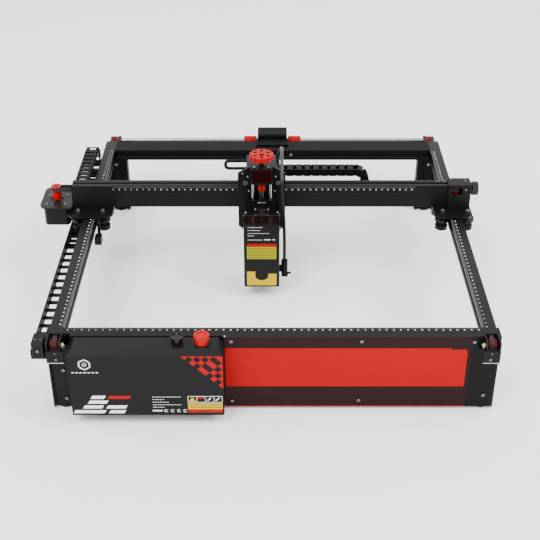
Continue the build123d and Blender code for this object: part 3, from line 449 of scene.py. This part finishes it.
def ruler(name, origin, along, up, length, body, mark=0.95, lift=4.8):
    """Millimetre scale with a number at each centimetre, mark wide and with its top lift below the line that
    the ticks hang from."""
    numbers, ticks = Shape(), Shape()
    origin = Vector(origin)
    for step in range(int(length) + 1):
        drop = 3.2 if step % 10 == 0 else 2.6 if step % 5 == 0 else 1.9
        ticks.line((step, 0), (step, -drop), origin, along, up, 0.24)
        if step % 10:
            continue
        text = str(step // 10)
        start = step - (len(text) * 1.5 * mark - 0.5 * mark) / 2
        for place, digit in enumerate(text):
            left = start + place * 1.5 * mark
            for stroke in DIGITS[digit]:
                points = [(left + x * mark, -lift - 2 * mark + y * mark) for x, y in stroke]
                for a, b in zip(points, points[1:]):
                    numbers.line(a, b, origin, along, up, 0.36 * mark)
    ticks.piece(f"{name}_ticks", "grey_print", "white_print", body)
    numbers.piece(f"{name}_numbers", "white", "white_print", body)


def rulers():
    ruler("ruler_front", (-290, -284.9, RAIL_TOP), X, Y, 580, "frame", mark=0.9, lift=4.6)
    ruler("ruler_left", (-296.7, 283, RAIL_TOP), -Y, X, 566, "frame")
    ruler("ruler_right", (296.7, -283, RAIL_TOP), Y, -X, 566, "frame")
    ruler("ruler_gantry", (-287, BEAM_FACE, 171.0), X, Z, 525, "gantry", lift=4.4)


def emblem(mark, face):
    """Hexagon ring with a smaller one in it, and a row of dashes below."""
    centre, count = (-261.2, 106.6), 6
    for radius, width in ((8.6, 1.8), (2.6, 2.2)):
        ring = [(centre[0] + radius * math.cos(math.pi * (k + 0.5) / count * 2),
                 centre[1] + radius * math.sin(math.pi * (k + 0.5) / count * 2)) for k in range(count + 1)]
        for a, b in zip(ring, ring[1:]):
            mark.line(a, b, face, X, Z, width)
    for k in range(7):
        mark.line((-279.5 + 5.6 * k, 92.8), (-277.4 + 5.6 * k, 92.8), face, X, Z, 1.5)


def slanted_stripes(mark, face):
    slant = 0.62
    stripes = ((-284.0, -240.0, 20.0, 25.5), (-270.0, -243.0, 28.7, 34.2), (-234.0, -212.0, 20.0, 25.5),
               (-262.5, -236.0, 37.4, 42.9), (-237.0, -209.5, 28.7, 34.2), (-258.0, -239.0, 46.1, 51.6))
    for x0, x1, z0, z1 in stripes:
        shift = slant * (z1 - z0)
        mark.prism([(x0, z0), (x1, z0), (x1 + shift, z1), (x0 + shift, z1)], face, X, Z, PROUD)


def text_rows(mark, face, rows, length, gap):
    """Dashes in place of text. Each row is its start, height, width and thickness."""
    for start, z, width, thick in rows:
        x = start
        while x < start + width:
            mark.line((x, z), (x + length, z), face, X, Z, thick)
            x += gap


def notice_frame(mark, face):
    """Small open squares, and a table of four cells with a slanted stroke in the last two."""
    for k in range(4):
        x = -154.0 + 9.0 * k
        for a, b in (((x, 22.6), (x + 4, 22.6)), ((x, 26.4), (x + 4, 26.4)), ((x, 22.6), (x, 26.4))):
            mark.line(a, b, face, X, Z, 0.8)
    for x in (-120.4, -107.8, -95.6, -83.6, -71.9):
        mark.line((x, 40.2), (x, 50.6), face, X, Z, 0.6)
    for z in (40.0, 50.6):
        mark.line((-120.4, z), (-71.9, z), face, X, Z, 0.6)
    for x in (-90.5, -78.5):
        mark.line((x - 2, 43.5), (x + 2.4, 47.5), face, X, Z, 1.6)


def diamonds(red, face):
    """Lattice of diamonds in the box's top corner, cut off at its top and right edges. Each is its column and
    line, and whether it joins the next one down and to the right."""
    wide, tall, cut = 5.7, 5.6, -69.75
    lattice = ((0, 0, 1), (1, 0, 0), (2, 0, 0), (3, 0, 0), (4, 0, 0), (1, 1, 1), (2, 1, 0), (3, 1, 0),
               (2, 2, 1), (-0.5, 1.5, 0), (-0.5, 2.5, 0), (0.5, 2.5, 0), (-0.5, 3.5, 0), (0.5, 3.5, 0),
               (-0.5, 4.5, 0))
    for column, line, joined in lattice:
        x, z = -76.8 - 2 * wide * column, 121.0 - 2 * tall * line
        a, b = wide * joined, tall * joined
        right = x + a + wide * 0.98
        corners = [(x - wide * 0.98, z), (x + a, z - b - tall * 0.98), (right, z - b), (x, z + tall * 0.98)]
        if line == 0:
            corners[3] = (right, z)
        over = right - cut
        if over > 0:
            rise = over * tall / wide
            corners[2:3] = [(cut, z - b - rise), (cut, z if line == 0 else z - b + rise)]
            corners = [corner for corner in corners if corner[0] <= cut]
        red.prism(corners, face, X, Z, PROUD)


def box_print():
    """Plain printed marks on the control box: emblem, dashes, stripes, diamonds and a blank notice."""
    face, print_y = (0, BOX_FACE, 0), (BOX_FACE - PROUD, BOX_FACE)
    mark = Shape()
    emblem(mark, face)
    slanted_stripes(mark, face)
    rows = ((49.5, 38, 0.7), (45.0, 17, 0.7), (40.0, 22, 0.7), (35.4, 40, 0.7), (30.8, 16, 0.7),
            (24.6, 11, 2.4))
    text_rows(mark, face, [(-170.0, *sizes) for sizes in rows], 1.6, 3.4)
    notice_frame(mark, face)
    mark.piece("box_marks", "white", "white_print", "frame")

    red = Shape()
    red.prism([(-235.0, 46.0), (-203.5, 46.0), (-199.0, 51.6), (-230.5, 51.6)], face, X, Z, PROUD)
    red.box((-120.6, -71.7), print_y, (21.2, 27.2))
    red.box((-107.2, -96.2), print_y, (46.4, 50.2))
    diamonds(red, face)
    red.box((-68.0, 279.0), (PANEL_FACE - PROUD, -306.0), (4.4, 5.6))
    red.piece("red_marks", "print_red", "red_print", "frame")

    notice = Shape()
    notice.box((-120.6, -71.7), print_y, (27.2, 38.2))
    notice.prism([(-119.2, 41.4), (-109.2, 41.4), (-114.2, 49.6)], face, X, Z, PROUD)
    notice.piece("notice_band", "yellow", "yellow_print", "frame")
    dashes = Shape()
    over_print = (0, BOX_FACE - PROUD, 0)
    for z in (34.9, 30.4):
        for k in range(9):
            x = -117.0 + 5.0 * k
            dashes.line((x, z), (x + 3.0, z), over_print, X, Z, 1.2, FAINT)
    for k in range(4):
        dashes.line((-106 + 5 * k, 24.2), (-103 + 5 * k, 24.2), over_print, X, Z, 1.2, FAINT)
    dashes.piece("notice_dashes", "print_dark", "dark_print", "frame")


def screw(shape, x, y, z, axis, radius=2.6, height=1.6):
    """Button-head screw with a hex socket, its head's base at the point."""
    rim = radius * 0.98
    shape.lathe((x, y, z), axis, [(radius, 0), (radius, height * 0.35), (rim * 0.86, height * 0.8),
                                  (rim * 0.58, height), (rim * 0.5, height), (rim * 0.46, height * 0.35)], 18)


def small_screws():
    """Screws and rims of the gantry, the carriage and the frame's corners."""
    shape = Shape()
    for x, y in ((276.9, 74.8), (280.8, 74.8), (287.3, 74.8), (290.8, 74.8)):
        screw(shape, x, y, 173.0, Z, 1.6, 0.8)
    for x, y in ((323.7, 71.8), (301.0, 79.5), (323.7, 79.5)):
        screw(shape, x, y, 175.5, Z, 2.0, 1.0)
    screw(shape, 323.0, 57.0, 166.5, -Y, 2.0, 1.0)
    for dx in (-15.5, 15.5):
        for dy in (-15.5, 15.5):
            screw(shape, X_MOTOR[0] + dx, X_MOTOR[1] + dy, 141.0, Z, 2.8, 1.6)
    shape.piece("gantry_screws", "dark_bolt", "bolt_steel", "gantry")

    shape = Shape()
    for x, z in ((21.5, 167.8), (23.2, 194.2), (31.5, 200.1)):
        for side in (-1, 1):
            screw(shape, CARRIAGE + side * x, PLATE_FACE, z, -Y, 1.6, 1.0)
    for side in (-1, 1):
        screw(shape, CARRIAGE + side * 13, 62, 201.0, Z, 2.4, 1.3)
        screw(shape, CARRIAGE + side * 13, 94, 201.0, Z, 2.4, 1.3)
        screw(shape, CARRIAGE + side * 11.5, 36, 220.0, Z, 2.0, 1.2)
    shape.piece("carriage_screws", "bolt", "bolt_steel", "x_carriage")

    shape = Shape()
    for side in (-1, 1):
        shape.lathe((side * 296.0, -312.0, 118.0), Vector((-side, 0, 0)),
                    [(4.0, 0), (4.0, 2.4), (3.4, 3.4), (2.2, 3.8), (2.0, 3.8), (1.8, 2.0)], 20)
    screw(shape, -68.1, -306.0, RAIL_TOP, Z, 1.6, 0.5)
    shape.piece("frame_small_screws", "bolt", "bolt_steel", "frame")

    shape = Shape()
    screw(shape, -329.8, -316.0, 110.5, -Y, 2.6, 1.4)
    for side in (-1, 1):
        screw(shape, side * 303.0, -326.0, 103.5, -Y, 2.3, 1.4)
        screw(shape, side * 304.0, -326.0, 113.5, -Y, 1.3, 0.6)
    for x in (-334.0, -325.6):
        screw(shape, x, -307.0, 124.0, Z, 1.5, 0.8)
    shape.piece("corner_screws", "dark_bolt", "bolt_steel", "frame")
    shape = Shape()
    for x in ((-337.0, -335.8), (-323.8, -322.6)):
        shape.box(x, (-316.5, -315.5), (98.5, 122.5))
    for z in ((98.5, 99.7), (121.3, 122.5)):
        shape.box((-337.0, -322.6), (-316.5, -315.5), z)
    shape.piece("tray_end_rim", "knob", "knob", "frame", bevel=0.2)
    # Bright steel strips along the fork plates' lower edges: a painted highlight.
    shape = Shape()
    for side in (-1, 1):
        low, high = sorted((side * 292.5, side * 316.2))
        shape.box((low, high), (-326.4, -325.6), (96.8, 98.0))
    shape.piece("fork_edge_painted_highlight", "bolt", "bolt_steel", "frame")
    one_box("window_corner_strip", "smoke", "dark_acrylic", "frame",
            (252.0, 271.0), (-307.7, -306.5), (107.4, 109.7))


def carriage_details():
    """The slide's window with its sill, the lead screw's nut plate and the X motor's sleeve."""
    c = CARRIAGE
    one_box("slide_window", "dark_red", "dark_acrylic", "x_carriage",
            (c - 15.4, c + 15.4), (28.3, 29.3), (194.9, 217.6), 0.4)
    one_box("slide_window_sill", "knob", "knob", "x_carriage",
            (c - 18.2, c + 18.2), (28.6, PLATE_FACE), (191.4, 193.0), 0.4)
    one_box("nut_plate", "bolt", "bolt_steel", "laser_head",
            (c - 6.4, c + 6.4), (37.6, 39.0), (150.6, 153.4), 0.3)
    shape = Shape()
    shape.rod((*X_MOTOR, 141.1), Z, 2.9, 2.8)
    shape.piece("motor_shaft_sleeve", "steel", "steel", "x_motor_pulley")


def head_print():
    """Labels on the head's front: text rows, red band, notice and yellow plate."""
    face, print_y, over_print = (0, HEAD_FACE, 0), (HEAD_FACE - PROUD, HEAD_FACE), (0, HEAD_FACE - PROUD, 0)
    text = Shape()
    text_rows(text, face, ((-40.8, 136.6, 24, 0.6), (-40.8, 131.0, 20, 0.6), (-40.8, 125.4, 34, 0.6),
                           (-40.8, 120.8, 8, 0.6), (-40.8, 113.0, 24, 0.7), (-13.4, 113.5, 8, 1.5),
                           (0.6, 113.5, 2, 1.6)), 2.2, 3.6)
    text.piece("head_marks", "white", "white_print", "laser_head")
    one_box("head_red_band", "print_red", "red_print", "laser_head", (-42.6, 5.8), print_y, (99.8, 105.6))
    one_box("head_notice", "lime", "lime_print", "laser_head", (-42.6, 5.8), print_y, (76.3, 99.8))
    dashes = Shape()
    for z in (96.6, 92.8, 89.0, 83.0, 79.4):
        for k in range(9):
            x = -40.0 + 5.0 * k
            dashes.line((x, z), (x + 2.8, z), over_print, X, Z, 1.0, FAINT)
    dashes.line((-41, 86.0), (4, 86.0), over_print, X, Z, 0.5, FAINT)
    dashes.piece("head_notice_dashes", "print_dark", "dark_print", "laser_head")

    plate = Shape()
    notch = [(-18.25 + 10.9 * math.cos(a), 43.4 + 9.0 * math.sin(a))
             for a in (math.pi + math.pi * k / 14 for k in range(15))]
    outline = [(-43.1, 25.5), (-42.1, 24.5), (5.5, 24.5), (6.5, 25.5), (6.5, 47.4), (-7.35, 47.4)]
    plate.prism(outline + notch[::-1] + [(-29.15, 51.7), (-43.1, 51.7)], face, X, Z, 0.6)
    plate.piece("head_yellow_plate", "yellow", "yellow_print", "laser_head", bevel=0.15)


def head_details():
    """Top plate and trim, labels, fan grille, screws and the air outlet's cap."""
    c = CARRIAGE
    one_box("head_top_plate", "smoke_head", "dark_acrylic", "laser_head",
            (c - 29.3, c + 29.3), (-16.3, 12.6), (HEAD_TOP, HEAD_TOP + 0.9), 0.3)
    one_box("head_top_trim", "knob", "knob", "laser_head",
            (c - 29.5, c + 29.5), (12.8, 13.9), (HEAD_TOP, HEAD_TOP + 1.8), 0.2)
    head_print()

    grille = Shape()
    fan = Vector((c, 25.9, HEAD_TOP + 0.6))
    for radius in (4.5, 8.0, 11.6):
        grille.sweep([fan + Vector((math.cos(a), math.sin(a), 0)) * radius
                      for a in (2 * math.pi * k / 32 for k in range(33))], 0.5, 8)
    for a in (math.pi / 4, 3 * math.pi / 4):
        reach = Vector((math.cos(a), math.sin(a), 0)) * 15.0
        grille.sweep([fan - reach, fan + reach], 0.5, 8)
    grille.piece("fan_grille", "knob", "knob", "laser_head")
    screws = Shape()
    for dx in (-10.6, 10.6):
        for dy in (-10.6, 10.6):
            screw(screws, fan.x + dx, fan.y + dy, HEAD_TOP, Z, 1.8, 1.4)
    for x in (c - 26.5, c + 26.5):
        screw(screws, x, 26.0, HEAD_TOP, Z, 1.8, 1.4)
    for side in (-1, 1):
        for z in (34.0, 128.0):
            screw(screws, c + side * 29.5, -3.0, z, X * side, 2.0, 1.0)
    screws.piece("head_screws", "bolt", "bolt_steel", "laser_head")
    tip = Shape()
    tip.lathe((c + 46.2, -6.0, 38.0), -Y, [(3.0, 0), (3.0, 2.0), (2.4, 3.0), (1.2, 3.6)], 20)
    tip.piece("nozzle_cap", "white", "white_plastic", "laser_head")


# ---- air hose, its route given from the middle of the carriage ----
HOSE_RADIUS = 2.7
HOSE_ROUTE = [(38.0, -3.0, 66.0), (38.0, -3.0, 92.0), (37.5, -1.5, 120.0), (36.0, 4.0, 150.0),
              (34.0, 14.0, 182.0), (33.0, 28.0, 210.0), (33.0, 48.0, 232.0), (33.3, 74.0, 236.0),
              (32.6, 94.0, 225.0), (29.5, 104.0, 212.0), (25.5, 107.0, 202.4)]


def route_points(route):
    """Points along the smooth curve that a route of control points gives, in machine millimetres."""
    curve = bpy.data.curves.new("route", "CURVE")
    curve.dimensions, curve.resolution_u = "3D", 8
    spline = curve.splines.new("NURBS")
    spline.points.add(len(route) - 1)
    for point, place in zip(spline.points, route):
        point.co = (*place, 1)
    spline.order_u, spline.use_endpoint_u = 3, True
    holder = bpy.data.objects.new("route", curve)
    mesh = bpy.data.meshes.new_from_object(holder)
    points = [v.co.copy() for v in mesh.vertices]
    bpy.data.objects.remove(holder)
    bpy.data.curves.remove(curve)
    bpy.data.meshes.remove(mesh)
    return points


def hose():
    """Air hose from beside the head up over the carriage, as one tube that rides on no body."""
    shape = Shape()
    shape.sweep(route_points([(CARRIAGE + x, y, z) for x, y, z in HOSE_ROUTE]), HOSE_RADIUS, 16)
    piece = shape.piece("air_hose_tube", "hose", "hose")
    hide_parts("air_hose")
    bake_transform(piece)


# ---- drag chains ----
def chain_link(shape, middle, along, up, length, width, height):
    """One link: two stepped side plates with a pin boss and two cross bars."""
    side = up.cross(along)
    reach, rise, wall, bar = length / 2, height / 2, 2.2, 1.7
    between = (-width / 2 + wall, width / 2 - wall)

    def slab(span, across, heights):
        corners = [middle + along * s + side * w + up * t for s in span for t in heights for w in across]
        order = [[0, 1, 3, 2], [4, 6, 7, 5], [0, 4, 5, 1], [2, 3, 7, 6], [0, 2, 6, 4], [1, 5, 7, 3]]
        shape.add(corners, order)

    for sign in (-1, 1):
        outer = sorted((sign * width / 2, sign * (width / 2 - wall)))
        inner = sorted((sign * (width / 2 - 0.9), sign * (width / 2 - 0.9 - wall)))
        slab((-reach * 0.95, reach * 0.72), outer, (-rise, rise))
        slab((reach * 0.6, reach * 1.2), inner, (-rise * 0.9, rise * 0.9))
        boss = middle + side * sign * (width / 2 - 0.6) - along * reach * 0.5
        shape.lathe(boss, side * sign, [(rise * 0.45, 0), (rise * 0.45, 0.8), (rise * 0.36, 1.0)], 16)
    slab((-reach * 0.72, reach * 0.56), between, (rise - 0.1 - bar, rise - 0.1))
    slab((-reach * 0.3, reach * 0.2), between, (-rise + 0.1, -rise + 0.1 + bar))


def chain(prefix, run, width, height, upper, bend, lower, top, floor, across_at, fixed):
    """Drag chain along the direction run: an upper run, and a bend that slides with the lower
    run. The runs start at upper and lower and end at bend, top and floor are heights, and across_at is the
    chain's place to the side. The upper run rides on no body, and the rest on fixed."""
    def place(along, z):
        return run * along + across_at + Z * z

    def straight(shape, start, z, along, up):
        count = round((bend - start) / 15.0)
        pitch = (bend - start) / count
        for k in range(count):
            chain_link(shape, place(start + pitch * (k + 0.5), z), along, up, pitch, width, height)

    upper_links, rest = Shape(), Shape()
    straight(upper_links, upper, top - height / 2, run, Z)
    radius, mid = (top - floor - height) / 2, (top + floor) / 2
    arcs = 4
    for k in range(arcs):
        a = math.pi / 2 - math.pi * (k + 0.5) / arcs
        out = run * math.cos(a) + Z * math.sin(a)
        along = out.cross(run.cross(Z)) * -1
        chain_link(rest, place(bend, mid) + out * radius, along, out, math.pi * radius / arcs, width, height)
    straight(rest, lower, floor + height / 2, -run, -Z)
    first = upper_links.piece(f"{prefix}_upper_links", "plastic", "black_plastic", bevel=0.35)
    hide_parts(f"{prefix}_upper")
    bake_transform(first)
    second = rest.piece(f"{prefix}_bend_links", "plastic", "black_plastic", fixed, bevel=0.35)
    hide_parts(f"{prefix}_bend")


def chains():
    chain("x_chain", X, 20.0, 13.0, 8.7, 140.0, -85.0, 184.0, 134.8, Y * 108.0, "x_chain")
    chain("y_chain", Y, 21.4, 12.0, 118.5, 250.0, 0.0, 149.0, 87.0, X * -332.3, "y_chain")


def wheel_details():
    """Bearing shields on both faces of every V wheel."""
    shield = [(7.6, 0), (7.6, 0.5), (7.0, 0.62), (4.0, 0.62), (4.0, 0.2)]
    for name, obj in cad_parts.items():
        if "wheel_" not in name or name in ("wheel_bolts", "wheel_discs"):
            continue
        low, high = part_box(name)
        centre = (low + high) / 2 / MM - ROW_SHIFT
        axis = Y if name.startswith("carriage") else Z
        half = (high - low).dot(axis) / 2 / MM
        shape = Shape()
        for sign in (-1, 1):
            shape.lathe(centre + axis * sign * (half - 0.3), axis * sign, shield, 28)
        shape.piece(f"{name}_bearing", "bolt", "bolt_steel", name)


materials()
camera()
studio()
rulers()
box_print()
small_screws()
carriage_details()
head_details()
hose()
chains()
wheel_details()
